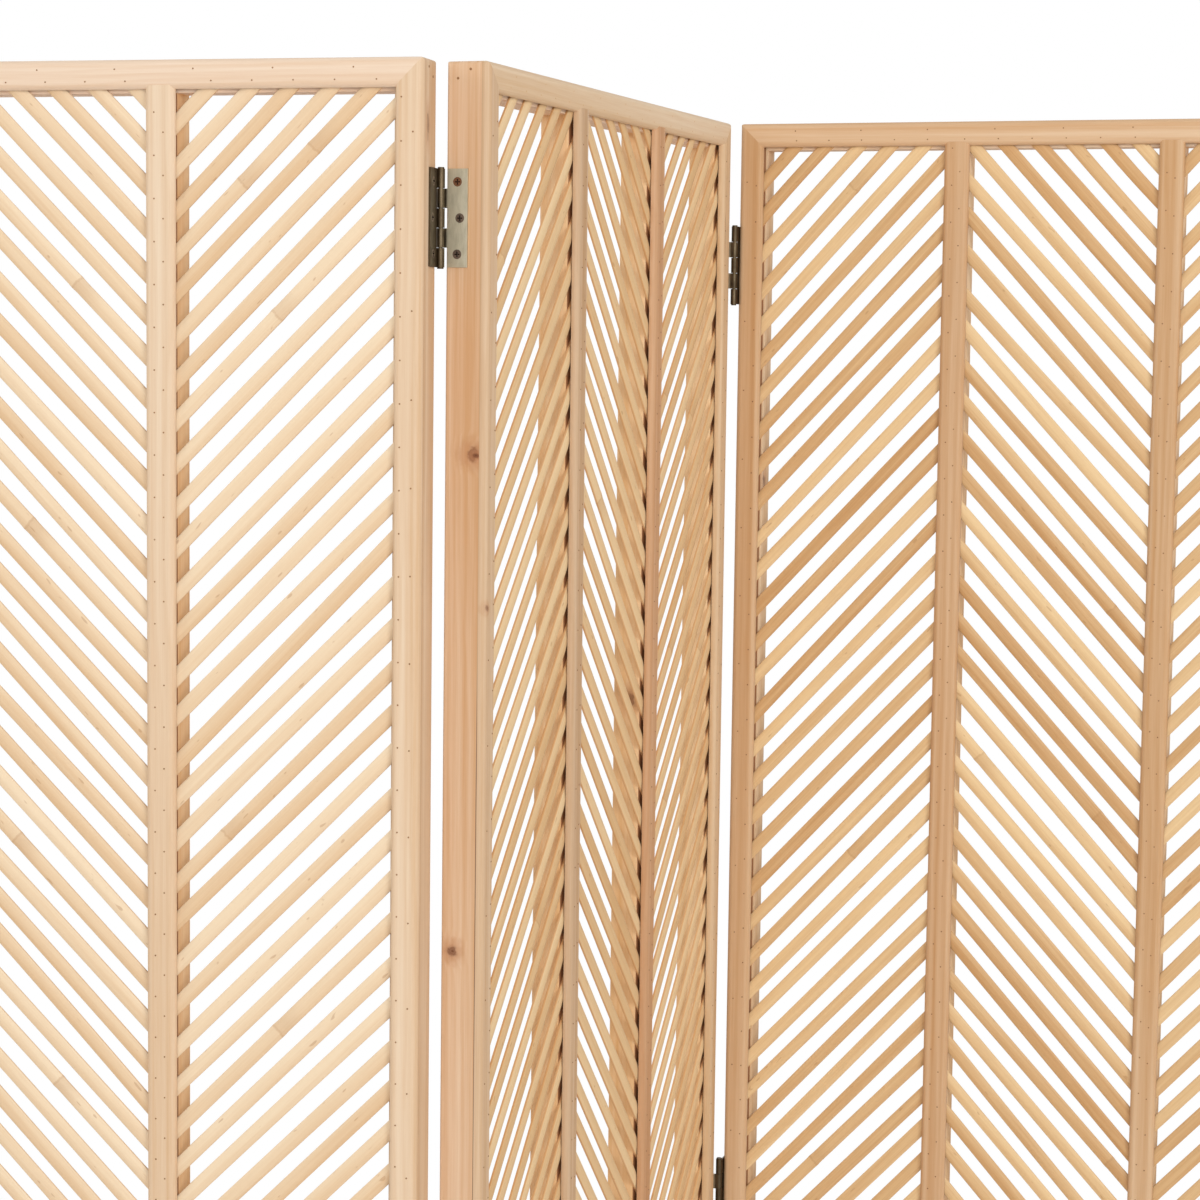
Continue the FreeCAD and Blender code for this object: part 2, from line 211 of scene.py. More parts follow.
KNOT_HEART = srgb(112, 66, 44)
KNOT_RIM = srgb(184, 122, 80)
CURL_SCALE, CURL_REACH, CURL_DETAIL = 230.0, 1.5, 2.0
KNOT_PUSH = (4.0, 0.6, 0.0, 0.0045)
RIM_GAPS, RIM_SHARE = (3.2, 0.9), 0.5
HEART_GAPS = (1.35, 0.35)
KNOT_RING_RATE, KNOT_RINGS = 11.0, (-1.0, 1.0, 0.75, 1.0)

SEAM_DARK = srgb(96, 60, 38)
SEAM_PLAIN = (0.22, 2.0, 1.9)
SEAM_CLOSED = 0.12
SEAM_GAPS = (0.00042, 0.00014)
SEAM_BREAKS = (0.3, 0.55, 0.4, 1.0)
CRACK_WANDER = 0.001
CRACK_GAPS = (0.0005, 0.0001, 0.0, 0.85)
CRACK_END = 0.008
# Painted shade on the seats of the slat ends in the hollows under the covers
SEAT_PAINTED_SHADE = srgb(158, 102, 64)
SEAT_EDGE = 0.0002
SEAT_GAPS = (0.0006, 0.0003, 0.0, 0.9)


def wood(name, panel, along, tone, seed, contrast, knots, cracks, seam, shaded_seat):
    """Planed softwood with its grain along a member of a panel, a dark line at the glued seam, and painted
    shade on the slat seats under the covers.
    """
    draw = random.Random(seed)
    graph = Graph(name)
    point = graph.panel_point(panel)
    x, y, z = graph.split(point)
    grain = graph.join(x, y, z) if along == "z" else graph.join(z, y, x)
    shift = tuple(draw.uniform(-GRAIN_SHIFT, GRAIN_SHIFT) for _ in range(3))
    across, depth, length = graph.split(grain)

    def streaks(across_scale, along_scale, detail):
        scaled = graph.vector("MULTIPLY", grain, (across_scale, across_scale, along_scale))
        return graph.noise(graph.vector("ADD", scaled, shift), detail)

    sway = graph.centred(streaks(*WOOD_SWAY), SWAY_REACH)
    ripple = graph.centred(streaks(*WOOD_RIPPLE), 1.0)
    angle = draw.uniform(*PITH_ANGLES)
    reach = draw.uniform(*PITH_REACHES)
    from_pith = graph.join(
        graph.math("ADD", graph.math("SUBTRACT", across, reach * math.cos(angle)), sway),
        graph.math("ADD", graph.math("SUBTRACT", depth, reach * math.sin(angle)),
                   graph.math("MULTIPLY", ripple, RIPPLE_REACH)),
        0.0,
    )
    taper = graph.math("MULTIPLY", length, RING_TAPER)
    ring_distance = graph.math("ADD", graph.vector("LENGTH", from_pith), taper)

    # The rings bend round a knot
    gaps = []
    curl = graph.noise(graph.vector("MULTIPLY", point, (CURL_SCALE,) * 3), CURL_DETAIL, "Color")
    curl = graph.vector("SUBTRACT", curl, (0.5,) * 3)
    for place, radii, strength in knots:
        offset = graph.vector("DIVIDE", graph.vector("SUBTRACT", point, place), radii)
        offset = graph.vector("ADD", offset, graph.vector("MULTIPLY", curl, (CURL_REACH,) * 3))
        gap = graph.vector("LENGTH", offset)
        gaps.append((gap, strength))
        ring_distance = graph.math("ADD", ring_distance, graph.ramp(gap, *KNOT_PUSH))
    ring = graph.math("FRACT", graph.math("DIVIDE", ring_distance, draw.uniform(*RING_SPACINGS)))
    late = graph.math("MULTIPLY", graph.ramp(ring, *RING_DARKENS), graph.ramp(ring, *RING_PALES))

    fibre, lines, broad, patch = (
        streaks(*scales) for scales in (WOOD_FIBRE, WOOD_LINES, WOOD_BROAD, WOOD_PATCH)
    )
    shade = graph.math("MULTIPLY", late, LATE_SHARE * contrast)
    shares = ((fibre, FIBRE_SHARE), (lines, LINES_SHARE), (broad, BROAD_SHARE), (patch, PATCH_SHARE))
    for value, share in shares:
        shade = graph.math("ADD", shade, graph.centred(value, share * contrast))
    shade = graph.math("ADD", shade, SHADE_MIDDLE, clamp=True)
    pale = srgb(*(value + (255 - value) * PALE_SHARE for value in tone))
    deep = srgb(*(value * share for value, share in zip(tone, DEEP_SHARES)))
    colour = graph.mix(shade, pale, deep)

    for gap, strength in gaps:
        rim = graph.ramp(gap, *RIM_GAPS, 0.0, RIM_SHARE * strength)
        colour = graph.mix(rim, colour, KNOT_RIM)
        wave = graph.math("SINE", graph.math("MULTIPLY", gap, KNOT_RING_RATE))
        heart = graph.ramp(gap, *HEART_GAPS, 0.0, strength)
        heart = graph.math("MULTIPLY", heart, graph.ramp(wave, *KNOT_RINGS))
        colour = graph.mix(heart, colour, KNOT_HEART)
    for place, low, high in cracks:
        wander = graph.math("MULTIPLY", ripple, CRACK_WANDER)
        gap = graph.math("ADD", graph.math("SUBTRACT", across, place), wander)
        begun = graph.ramp(length, low, low + CRACK_END)
        ended = graph.ramp(length, high, high - CRACK_END)
        crack = graph.ramp(graph.math("ABSOLUTE", gap), *CRACK_GAPS)
        crack = graph.math("MULTIPLY", crack, graph.math("MULTIPLY", begun, ended))
        colour = graph.mix(crack, colour, SEAM_DARK)
    # Painted shade: the seats of the slat ends under the covers turn dark
    if shaded_seat:
        seat_left, seat_right = shaded_seat
        begun = graph.ramp(x, seat_left - SEAT_EDGE, seat_left)
        ended = graph.ramp(x, seat_right + SEAT_EDGE, seat_right)
        floor_gap = graph.math("ABSOLUTE", graph.math("SUBTRACT", y, SLAT_BACK))
        seat_shade = graph.math("MULTIPLY", begun, ended)
        seat_shade = graph.math("MULTIPLY", seat_shade, graph.ramp(floor_gap, *SEAT_GAPS))
        colour = graph.mix(seat_shade, colour, SEAT_PAINTED_SHADE)

    strength, open_from, open_to = seam
    seam_gap = graph.math("ABSOLUTE", graph.math("ADD", y, FRAME_DEPTH))
    opened = graph.ramp(z, open_from, open_to, SEAM_CLOSED, strength)
    line = graph.math("MULTIPLY", graph.ramp(seam_gap, *SEAM_GAPS), opened)
    line = graph.math("MULTIPLY", line, graph.ramp(broad, *SEAM_BREAKS))
    colour = graph.mix(line, colour, SEAM_DARK)
    graph.look(colour, graph.ramp(fibre, *WOOD_ROUGHNESS))
    graph.shader.inputs["Specular IOR Level"].default_value = WOOD_SPECULAR
    graph.bump(((fibre, FIBRE_HEIGHT), (late, LATE_HEIGHT)), *WOOD_BUMP)
    return graph.material


# The usual tone of a panel's covers and of the frame behind them, and the pieces that differ. The top rails
# under their covers and the inner sides of two stiles are painted lighter, a painted light on strips that
# lie in shade.
COVER_TONES = {"left": (231, 197, 157), "middle": (212, 172, 127), "right": (214, 169, 118)}
CORE_TONES = {"left": (219, 180, 136), "middle": (227, 184, 138), "right": (210, 167, 118)}
BATTEN_TONE = (249, 206, 148)
OWN_TONES_AND_PAINTED_LIGHT = {
    "left_top_rail_cover": (242, 212, 181),
    # Painted light: the rail strip under its cover, which lies in shade
    "left_top_rail": (252, 222, 194),
    "middle_top_rail_cover": (231, 199, 158),
    # Painted light: the rail strip under its cover, which lies in shade
    "middle_top_rail": (250, 214, 178),
    "middle_mullion_cover_left": (201, 160, 115),
    "middle_mullion_cover_right": (197, 138, 84),
    "middle_stile_cover_right": (220, 182, 134),
    "middle_stile_left": (229, 186, 142),
    # Painted light: the stile's inner side, which lies in shade behind the slats
    "middle_stile_right": (250, 208, 150),
    "right_top_rail_cover": (223, 180, 132),
    # Painted light: the rail strip under its cover, which lies in shade
    "right_top_rail": (244, 206, 164),
    "right_mullion_cover_left": (211, 163, 111),
    # Painted light: the stile's inner side, which lies in shade behind the slats
    "right_stile_left": (231, 188, 134),
}
CONTRASTS = {"middle_stile_left": 1.2}

# Knots by their middle, their radii and their strength
KNOTS = {
    "middle_stile_left": (
        ((0.0, -0.0186, 1.4604), (0.005, 0.0046, 0.0044), 0.78),
        ((0.0, -0.0210, 1.4600), (0.005, 0.0024, 0.0016), 0.95),
        ((0.0, -0.0076, 1.1492), (0.005, 0.0036, 0.0040), 0.95),
        ((0.0, -0.0120, 0.6300), (0.005, 0.0032, 0.0050), 0.9),
    ),
    "middle_stile_cover_left": (((0.0035, -0.0275, 1.3658), (0.0018, 0.003, 0.0020), 0.7),),
    "left_stile_right": (((0.5, -0.0168, 1.6600), (0.004, 0.0022, 0.0075), 0.6),),
    "right_stile_left": (((0.02, -0.0145, 1.4240), (0.003, 0.0040, 0.0050), 0.75),),
    "middle_batten_right": (((0.3215, -0.0120, 1.2700), (0.004, 0.0050, 0.0060), 0.8),),
}

# Cracks by their place across and their two ends, and seams by their darkness where they are open
# and the heights between which they open
CRACKS = {"middle_stile_cover_right": ((0.4862, 1.595, 1.633),)}
SEAMS = {"middle_stile_left": (0.9, 1.36, 1.25), "middle_stile_cover_left": (0.9, 1.36, 1.25)}

# The seats of the slat ends that the covers hide, which get a painted shade there
SHADED_SEATS = {
    "stile_left": (0.0092, 0.0185),
    "stile_right": (0.4815, 0.4908),
    "batten_left": (0.1600, 0.1790),
    "batten_right": (0.3210, 0.3400),
}

seed = 10
for name, obj in nodes.items():
    panel, _, piece = name.partition("_")
    if "slats" in piece or "hinge" in piece or piece in ("brads", "corner_nails"):
        continue
    usual = BATTEN_TONE if "batten" in piece else (COVER_TONES if "cover" in piece else CORE_TONES)[panel]
    along = "x" if "rail" in piece else "z"
    seed += 1
    obj.material_slots[0].material = wood(
        f"wood_{name}", panel, along, OWN_TONES_AND_PAINTED_LIGHT.get(name, usual), seed, CONTRASTS.get(name, 1.0),
        KNOTS.get(name, ()), CRACKS.get(name, ()), SEAMS.get(name, SEAM_PLAIN), SHADED_SEATS.get(piece),
    )


# Bamboo slats. A slope deepens the tone towards a slat's lower edge, a painted shade for light from above,
# and a wall share tints its sides orange, a painted shade on the sides between the slats.

BAMBOO_TONES = {
    "left": (srgb(243, 219, 186), srgb(226, 190, 148)),
    "middle": (srgb(238, 208, 163), srgb(217, 177, 127)),
    "right": (srgb(241, 209, 160), srgb(204, 156, 103)),
}
# Painted shade: the slope towards each slat's lower edge, and the orange on its sides
PAINTED_SHADE_SLOPES = {"left": 0.40, "middle": 0.0, "right": 0.12}
WALL_SHADE_SHARES = {"left": 0.15, "middle": 0.55, "right": 0.28}
SIDE_SHADE_ORANGE = srgb(214, 150, 88)
NODE_DARK = srgb(172, 122, 74)
CANE_FIBRE, CANE_FIBRE_SHARE = (1500.0, 22.0, 3.0), 0.55
CANE_BAND, CANE_BAND_SHARE = (260.0, 5.0, 2.0), 0.7
CANE_CLOUD, CANE_CLOUD_SHARE = (60.0, 14.0, 2.0), 0.35
SLAT_TONE_SHARE = 0.75
CANE_SHADE = 0.08
CANE_SPECKS, SPECK_RAMP = (420.0, 120.0, 0.0), (0.80, 0.86, 0.0, 0.38)
NODE_RIPPLE, NODE_RIPPLE_REACH = (300.0, 40.0, 2.0), 0.003
BEYOND_STARTS, BEYOND_FADES = (-0.0005, 0.0012), (0.026, 0.002, 0.0, 0.2)
NODE_LINE = (0.0012, 0.0003, 0.0, 0.28)
CANE_ROUGHNESS = (0.2, 0.8, 0.42, 0.58)
CANE_SPECULAR = 0.3
CANE_FIBRE_HEIGHT, CANE_BAND_HEIGHT = 0.6, 0.4
CANE_BUMP = (0.0001, 0.5)


def bamboo(name, pale, deep, wall_shade_share):
    """Split bamboo: fine fibres along the slat, a tone of its own for each slat with painted shade towards
    its lower edge, painted shade on its sides, and darker nodes.
    """
    graph = Graph(name)
    grain = graph.attribute("grain", "Vector")

    def streaks(across_scale, along_scale, detail):
        scaled = graph.vector("MULTIPLY", grain, (across_scale, across_scale, along_scale))
        return graph.noise(scaled, detail)

    fibre, band, cloud = (streaks(*scales) for scales in (CANE_FIBRE, CANE_BAND, CANE_CLOUD))
    shade = graph.math("MULTIPLY", graph.attribute("tone"), SLAT_TONE_SHARE)
    for value, share in ((fibre, CANE_FIBRE_SHARE), (band, CANE_BAND_SHARE), (cloud, CANE_CLOUD_SHARE)):
        shade = graph.math("ADD", shade, graph.centred(value, share))
    shade = graph.math("ADD", shade, CANE_SHADE, clamp=True)
    colour = graph.mix(shade, pale, deep)
    ripple = graph.centred(streaks(*NODE_RIPPLE), NODE_RIPPLE_REACH)
    gap = graph.math("ADD", graph.attribute("node_gap"), ripple)
    beyond = graph.math("MULTIPLY", graph.ramp(gap, *BEYOND_STARTS), graph.ramp(gap, *BEYOND_FADES))
    line = graph.ramp(graph.math("ABSOLUTE", gap), *NODE_LINE)
    speck = graph.ramp(streaks(*CANE_SPECKS), *SPECK_RAMP)
    for dark in (beyond, line, speck):
        colour = graph.mix(dark, colour, NODE_DARK)
    # Painted shade: the sides of the slats turn orange
    wall_shade = graph.math("MULTIPLY", graph.attribute("side_wall"), wall_shade_share)
    colour = graph.mix(wall_shade, colour, SIDE_SHADE_ORANGE)
    graph.look(colour, graph.ramp(fibre, *CANE_ROUGHNESS))
    graph.shader.inputs["Specular IOR Level"].default_value = CANE_SPECULAR
    graph.bump(((fibre, CANE_FIBRE_HEIGHT), (band, CANE_BAND_HEIGHT)), *CANE_BUMP)
    return graph.material


# The section of a slat, as shares of half its width and of its thickness, going round from the back
SECTION_SHARES = (
    (-0.93, 0.0), (-0.30, 0.0), (0.30, 0.0), (0.93, 0.0), (0.99, 0.06), (1.0, 0.20), (1.0, 0.50),
    (0.985, 0.58), (0.94, 0.65), (0.84, 0.73), (0.68, 0.82), (0.46, 0.915), (0.23, 0.98), (0.0, 1.0),
    (-0.23, 0.98), (-0.46, 0.915), (-0.68, 0.82), (-0.84, 0.73), (-0.94, 0.65), (-0.985, 0.58),
    (-1.0, 0.50), (-1.0, 0.20), (-0.99, 0.06),
)
SIDE_SHARE = 0.98
STEP_ALONG, FEWEST_STEPS = 0.014, 4
NODE_STEPS = (-0.008, -0.004, -0.002, -0.001, 0.0, 0.001, 0.002, 0.004, 0.008)
END_BLEND, BLEND_DIVISOR = 0.014, 2.2
SHARP_ANGLE = math.radians(50)

# How far one slat differs from the next
NODE_CHANCE, NODE_SHARES, NODE_FROM_END = 0.16, (0.12, 0.88), 0.003
GRAIN_ROOM = 3
ANGLE_SPREAD = math.radians(0.35)
HEIGHT_SPREAD = 0.0006
WIDTH_SPREAD, WIDTH_LIMIT = 0.03, 2
TAPER_SPREAD = 0.02
BOW_SPREAD = 0.0004
USUAL_THICKNESS, THICKNESS_SPREAD = 0.97, 0.03

# The shape of a node: it swells, and just beyond it the slat is narrower
SWELL_LENGTH, SWELL_WIDTH, SWELL_RISE = 0.0026, 0.04, 0.0002
PINCH_PLACE, PINCH_LENGTH, PINCH_WIDTH, PINCH_DROP = 0.006, 0.004, 0.015, 0.0001
NO_NODE_GAP = 1.0


def slat_line(panel, column):
    """The heights at which the slats of a column cross its middle."""
    x0, x1 = COLUMN_ENDS[column]
    reach = (x1 - x0) * math.tan(SLAT_ANGLES[panel]) / 2
    pitch = SLAT_PITCH * PITCH_SHARES[panel][column]
    start = PANEL_HEIGHT - pitch * START_SHARES[panel][column]
    steps = range(-math.ceil(reach / pitch), math.ceil((PANEL_HEIGHT + reach) / pitch))
    return [start - step * pitch for step in steps]


def reach_along(x0, x1, centre, middle, lean, angle, across):
    """How far a line beside a slat's middle line runs each way inside the column."""
    cosine, sine = math.cos(angle), math.sin(angle)
    lows = [(x0 - centre + across * lean * sine) / cosine]
    highs = [(x1 - centre + across * lean * sine) / cosine]
    floor = (FIELD_LOW - middle - across * cosine) / (lean * sine)
    ceiling = (FIELD_HIGH - middle - across * cosine) / (lean * sine)
    lows.append(min(floor, ceiling))
    highs.append(max(floor, ceiling))
    return max(lows), min(highs)


def column_mesh(name, panel, column):
    """One mesh with all the slats of a column, each a little different from the next."""
    draw = random.Random(f"{panel}{column}")
    x0, x1 = COLUMN_ENDS[column]
    centre = (x0 + x1) / 2
    lean = SLAT_LEANS[column]
    (origin_x, origin_y), turn = PANEL_PLACES[panel]
    place = Matrix.Translation((origin_x, origin_y, 0)) @ Matrix.Rotation(math.radians(turn), 4, "Z")
    points, faces, grains, tones, gaps, walls = [], [], [], [], [], []
    count = len(SECTION_SHARES)
    for middle in slat_line(panel, column):
        low, high = reach_along(x0, x1, centre, middle, lean, SLAT_ANGLES[panel], 0)
        jitter = [draw.gauss(0, 1) for _ in range(6)]
        has_node, node_share, tone = draw.random() < NODE_CHANCE, draw.uniform(*NODE_SHARES), draw.random()
        shift = tuple(draw.uniform(0, GRAIN_ROOM) for _ in range(3))
        if high - low < SHORTEST_SLAT:
            continue
        angle = SLAT_ANGLES[panel] + ANGLE_SPREAD * jitter[0]
        middle += HEIGHT_SPREAD * jitter[1]
        half = SLAT_WIDTH / 2 * (1 + WIDTH_SPREAD * max(-WIDTH_LIMIT, min(WIDTH_LIMIT, jitter[2])))
        taper = TAPER_SPREAD * jitter[3]
        bow = BOW_SPREAD * jitter[4]
        thickness = SLAT_THICKNESS * (USUAL_THICKNESS - THICKNESS_SPREAD * abs(jitter[5]))
        low, high = reach_along(x0, x1, centre, middle, lean, angle, 0)
        node = low + node_share * (high - low)
        steps = max(FEWEST_STEPS, round((high - low) / STEP_ALONG))
        stations = [low + (high - low) * step / steps for step in range(steps + 1)]
        if has_node:
            inner_low, inner_high = low + NODE_FROM_END, high - NODE_FROM_END
            stations += [node + step for step in NODE_STEPS if inner_low < node + step < inner_high]
            stations = sorted(set(stations))
        blend = min(END_BLEND, (high - low) / BLEND_DIVISOR)
        ends = [reach_along(x0, x1, centre, middle, lean, angle, side * half) for side, _ in SECTION_SHARES]
        first = len(points)
        for station in stations:
            share = (station - low) / (high - low)
            swell = pinch = 0.0
            if has_node:
                swell = math.exp(-((station - node) / SWELL_LENGTH) ** 2)
                pinch = math.exp(-((station - node - PINCH_PLACE) / PINCH_LENGTH) ** 2)
            width = half * (1 + taper * (2 * share - 1) + SWELL_WIDTH * swell - PINCH_WIDTH * pinch)
            bend = bow * (1 - (2 * share - 1) ** 2)
            rise = SWELL_RISE * swell - PINCH_DROP * pinch
            for (side, level), (end_low, end_high) in zip(SECTION_SHARES, ends):
                along = station
                along += (end_low - low) * max(0.0, 1 - (station - low) / blend)
                along += (end_high - high) * max(0.0, 1 - (high - station) / blend)
                across = side * width + bend
                x = centre + along * math.cos(angle) - across * lean * math.sin(angle)
                z = middle + along * lean * math.sin(angle) + across * math.cos(angle)
                z = min(FIELD_HIGH, max(FIELD_LOW, z))
                x = min(x1, max(x0, x))
                y = SLAT_BACK - level * (thickness + rise)
                points.append(place @ Vector((x, y, z)))
                grains += [across + shift[0], level * SLAT_THICKNESS + shift[1], along + shift[2]]
                # The slope paints shade towards the slat's lower edge
                tones.append(tone - side * PAINTED_SHADE_SLOPES[panel])
                walls.append(float(abs(side) > SIDE_SHARE))
                gaps.append(along - node if has_node else NO_NODE_GAP)
        rings = len(stations)
        for ring in range(rings - 1):
            base = first + ring * count
            for corner in range(count):
                after = (corner + 1) % count
                faces.append((base + corner, base + after, base + count + after, base + count + corner))
        faces.append(tuple(first + corner for corner in reversed(range(count))))
        faces.append(tuple(first + (rings - 1) * count + corner for corner in range(count)))
    mesh = bpy.data.meshes.new(name)
    mesh.from_pydata(points, [], faces)
    mesh.attributes.new("grain", "FLOAT_VECTOR", "POINT").data.foreach_set("vector", grains)
    for key, values in (("tone", tones), ("node_gap", gaps), ("side_wall", walls)):
        mesh.attributes.new(key, "FLOAT", "POINT").data.foreach_set("value", values)
    mesh.validate()
    mesh.update()
    mesh.polygons.foreach_set("use_smooth", [True] * len(mesh.polygons))
    mesh.set_sharp_from_angle(angle=SHARP_ANGLE)
    return mesh


for panel in PANEL_PLACES:
    material = bamboo(f"bamboo_{panel}", *BAMBOO_TONES[panel], WALL_SHADE_SHARES[panel])
    for column, side in enumerate(("left", "middle", "right")):
        node = f"{panel}_slats_{side}"
        mesh = column_mesh(f"{node}_bamboo", panel, column)
        mesh.materials.append(material)
        slats = bpy.data.objects.new(f"{node}_bamboo", mesh)
        bpy.context.scene.collection.objects.link(slats)
        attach(slats, f"{panel}_panel")
        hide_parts(node)


# Hinges, screws and nails. A metal's tones are its usual one, its dark one and its worn one. The brad
# heads above the filled heights have the tone of the wood.

LEAF_TONES = (srgb(206, 200, 178), srgb(166, 158, 132), srgb(220, 214, 194))
# A darker copy of the brass, a painted shade for the dark reflection of the edge-on outer leaves and pins
SHADED_BRASS_TONES = (srgb(84, 72, 56), srgb(56, 46, 36), srgb(118, 102, 76))
SCREW_TONES = (srgb(122, 106, 94), srgb(40, 32, 28), srgb(146, 130, 114))
NAIL_TONES = (srgb(160, 120, 84), srgb(126, 90, 60), srgb(172, 134, 98))
BARREL_SHADE_BROWNS = (srgb(92, 80, 62), srgb(62, 52, 40))
RUST = srgb(138, 96, 70)
RUSTY_SCREW = (-0.0859, -0.2330, 1.627)
FILLER = srgb(226, 194, 154)
FILLED_HEIGHTS = (1.681, 1.683)
LEAF_ROUGHNESS, SCREW_ROUGHNESS, NAIL_ROUGHNESS = 0.42, 0.38, 0.6
# How far the painted shade in the screws' crevices reaches
SCREW_SHADE_REACH = 0.0016
METAL_DETAIL = 3.0
METAL_BLOTCH, BLOTCH_DARKENS = (220.0, 90.0), (0.40, 0.72, 0.0, 0.45)
METAL_BRUSHED, BRUSHED_WEARS = (2600.0, 160.0), (0.42, 0.66, 0.0, 0.30)
METAL_GRIT, GRIT_DARKENS = (1500.0, 1500.0), (0.62, 0.75, 0.0, 0.35)
# Painted shade: how near the pin the pale leaves darken
PIN_SHADE_REACH, BARREL_BLOTCH = (0.0046, 0.0030), (0.4, 0.7)
RUST_RAMP = (0.0045, 0.0035, 0.0, 0.85)
# Painted shade in crevices, by how open they are
CREVICE_SHADE_RAMP = (0.92, 0.5)
ROUGHNESS_BLOTCH, SMOOTHER, ROUGHER = (0.2, 0.8), 0.07, 0.1
GRIT_HEIGHT, BRUSHED_HEIGHT = 0.6, 0.4
METAL_BUMP = (0.00004, 0.4)


def metal(name, tones, roughness, shaded_barrel=None, shaded_crevices=None, rusty=None, filler=None):
    """Metal with a mottled patina and, where asked, a painted shade near the barrel's pin, a rusty or
    filled head, or painted shade in crevices.
    """
    base, dark, worn = tones
    graph = Graph(name)
    point = graph.node("ShaderNodeTexCoord").outputs["Object"]

    def spots(across_scale, upright_scale):
        scaled = graph.vector("MULTIPLY", point, (across_scale, across_scale, upright_scale))
        return graph.noise(scaled, METAL_DETAIL)

    blotch, brushed, grit = (spots(*scales) for scales in (METAL_BLOTCH, METAL_BRUSHED, METAL_GRIT))
    colour = graph.mix(graph.ramp(blotch, *BLOTCH_DARKENS), base, dark)
    colour = graph.mix(graph.ramp(brushed, *BRUSHED_WEARS), colour, worn)
    colour = graph.mix(graph.ramp(grit, *GRIT_DARKENS), colour, dark)
    # Painted shade: the leaf darkens towards its pin
    if shaded_barrel:
        away = graph.vector("SUBTRACT", point, (*shaded_barrel, 0.0))
        away = graph.vector("LENGTH", graph.vector("MULTIPLY", away, (1.0, 1.0, 0.0)))
        barrel_shade = graph.mix(graph.ramp(blotch, *BARREL_BLOTCH), *BARREL_SHADE_BROWNS)
        colour = graph.mix(graph.ramp(away, *PIN_SHADE_REACH), colour, barrel_shade)
    if rusty:
        from_head = graph.vector("LENGTH", graph.vector("SUBTRACT", point, rusty))
        colour = graph.mix(graph.ramp(from_head, *RUST_RAMP), colour, RUST)
    if filler:
        filled = graph.ramp(graph.split(point)[2], *FILLED_HEIGHTS)
        colour = graph.mix(filled, colour, filler)
    # Painted shade: crevices turn dark by their ambient occlusion
    if shaded_crevices:
        open_share = graph.node("ShaderNodeAmbientOcclusion", {"Distance": shaded_crevices}).outputs["AO"]
        colour = graph.mix(graph.ramp(open_share, *CREVICE_SHADE_RAMP), colour, dark)
    graph.look(colour, graph.ramp(blotch, *ROUGHNESS_BLOTCH, roughness - SMOOTHER, roughness + ROUGHER))
    graph.shader.inputs["Metallic"].default_value = 1.0
    graph.bump(((grit, GRIT_HEIGHT), (brushed, BRUSHED_HEIGHT)), *METAL_BUMP)
    return graph.material


pale_leaves = {
    side: metal(f"{side}_leaf_brass", LEAF_TONES, LEAF_ROUGHNESS, shaded_barrel=axis)
    for side, axis in PIN_AXES.items()
}
# Painted shade: the outer leaves and pins take the darker brass
shaded_brass = metal("brass_in_painted_shade", SHADED_BRASS_TONES, LEAF_ROUGHNESS)
screw_brass = metal(
    "screw_brass", SCREW_TONES, SCREW_ROUGHNESS, shaded_crevices=SCREW_SHADE_REACH, rusty=RUSTY_SCREW,
)
nail_steel = metal("nail_steel", NAIL_TONES, NAIL_ROUGHNESS)
filled_steel = metal("filled_nail_steel", NAIL_TONES, NAIL_ROUGHNESS, filler=FILLER)

for name, obj in nodes.items():
    if name.endswith("middle_leaves"):
        material = pale_leaves[name.partition("_")[0]]
    elif name.endswith("hinge_screws"):
        material = screw_brass
    elif "hinge" in name:
        material = shaded_brass
    elif name == "middle_brads":
        material = filled_steel
    elif name.endswith(("brads", "corner_nails")):
        material = nail_steel
    else:
        continue
    obj.material_slots[0].material = material


# Floor, world, lamps and camera

scene = bpy.context.scene
WHITE = (1, 1, 1, 1)
FLOOR_HALF = 8.0
FLOOR_GREYS = ((0.84, 0.84, 0.84, 1), (0.87, 0.87, 0.87, 1))
FLOOR_GRAIN, FLOOR_DETAIL = 40.0, 3.0
FLOOR_ROUGHNESS = 0.9
FLOOR_FADES = (0.9, 2.6)


def floor_material():
    """A pale floor that takes the screen's shadow, and turns to plain white further out."""
    graph = Graph("floor")
    point = graph.node("ShaderNodeTexCoord").outputs["Object"]
    grain = graph.noise(graph.vector("MULTIPLY", point, (FLOOR_GRAIN,) * 3), FLOOR_DETAIL)
    graph.look(graph.mix(grain, *FLOOR_GREYS), FLOOR_ROUGHNESS)
    white = graph.node("ShaderNodeEmission", {"Color": WHITE, "Strength": 1.0})
    seen = graph.node("ShaderNodeLightPath").outputs["Is Camera Ray"]
    far = graph.math("MULTIPLY", graph.ramp(graph.vector("LENGTH", point), *FLOOR_FADES), seen)
    mixed = graph.node("ShaderNodeMixShader")
    for index, value in enumerate((far, graph.shader.outputs[0], white.outputs[0])):
        graph.put(mixed.inputs[index], value)
    graph.put(graph.tree.nodes["Material Output"].inputs["Surface"], mixed.outputs[0])
    return graph.material


floor_mesh = bpy.data.meshes.new("floor")
floor_mesh.from_pydata(
    [(-FLOOR_HALF, -FLOOR_HALF, 0), (FLOOR_HALF, -FLOOR_HALF, 0), (FLOOR_HALF, FLOOR_HALF, 0),
     (-FLOOR_HALF, FLOOR_HALF, 0)],
    [], [(0, 1, 2, 3)],
)
floor = bpy.data.objects.new("floor", floor_mesh)
scene.collection.objects.link(floor)
floor_mesh.materials.append(floor_material())

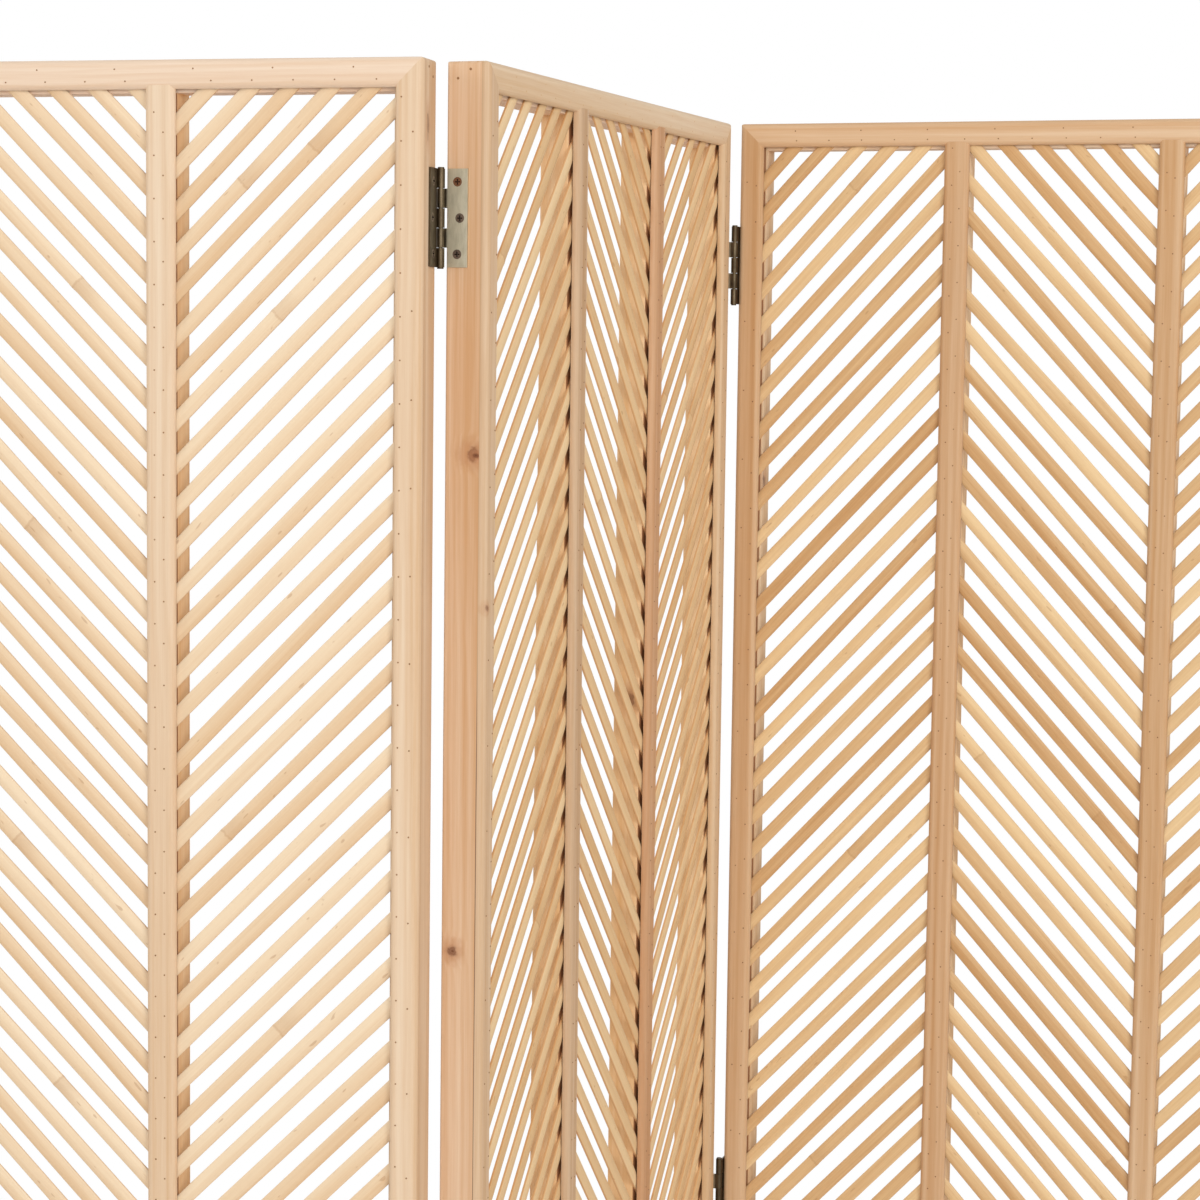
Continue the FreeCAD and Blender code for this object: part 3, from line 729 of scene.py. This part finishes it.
# The world lights the screen softly, and shows as plain white to the camera and in reflections
AMBIENT_COLOUR = (1, 0.99, 0.975, 1)
AMBIENT_STRENGTH = 0.55
world = bpy.data.worlds.new("studio")
scene.world = world
world.use_nodes = True
tree = world.node_tree
tree.nodes.clear()
path = tree.nodes.new("ShaderNodeLightPath")
shown = path.outputs["Is Camera Ray"]
for ray in ("Is Glossy Ray", "Is Transmission Ray"):
    either = tree.nodes.new("ShaderNodeMath")
    either.operation = "MAXIMUM"
    tree.links.new(shown, either.inputs[0])
    tree.links.new(path.outputs[ray], either.inputs[1])
    shown = either.outputs[0]
chosen = tree.nodes.new("ShaderNodeMixShader")
tree.links.new(shown, chosen.inputs[0])
for socket, colour, strength in ((1, AMBIENT_COLOUR, AMBIENT_STRENGTH), (2, WHITE, 1.0)):
    background = tree.nodes.new("ShaderNodeBackground")
    background.inputs["Color"].default_value = colour
    background.inputs["Strength"].default_value = strength
    tree.links.new(background.outputs[0], chosen.inputs[socket])
world_output = tree.nodes.new("ShaderNodeOutputWorld")
tree.links.new(chosen.outputs[0], world_output.inputs[0])

# Soft square lamps by name, with their place, size and power
LAMP_TARGET = Vector((0, 0, 1.2))
LAMPS = (
    ("key", (2.0, -3.8, 2.5), 1.4, 58),
    ("front", (0.05, -4.3, 1.95), 0.9, 28),
    ("side", (-3.2, -0.9, 2.8), 1.2, 18),
)
for name, place, size, power in LAMPS:
    data = bpy.data.lights.new(name, "AREA")
    data.shape = "SQUARE"
    data.size = size
    data.energy = power
    lamp = bpy.data.objects.new(name, data)
    scene.collection.objects.link(lamp)
    lamp.location = place
    lamp.rotation_euler = (LAMP_TARGET - Vector(place)).to_track_quat("-Z", "Y").to_euler()
    lamp.visible_camera = False

CAMERA_PLACE = (0.00403, -1.96391, 1.53174)
CAMERA_PITCH = math.radians(5.291)
CAMERA_ROLL = math.radians(0.727)
SENSOR_WIDTH, LENS = 36.0, 84.15
CLIP_START = 0.05
camera = bpy.data.objects.new("camera", bpy.data.cameras.new("camera"))
camera.data.sensor_fit = "HORIZONTAL"
camera.data.sensor_width = SENSOR_WIDTH
camera.data.lens = LENS
camera.data.clip_start = CLIP_START
camera.matrix_world = (
    Matrix.Translation(CAMERA_PLACE)
    @ Matrix.Rotation(math.pi / 2 - CAMERA_PITCH, 4, "X")
    @ Matrix.Rotation(CAMERA_ROLL, 4, "Z")
)
scene.collection.objects.link(camera)
scene.camera = camera
scene.view_settings.view_transform = "Standard"
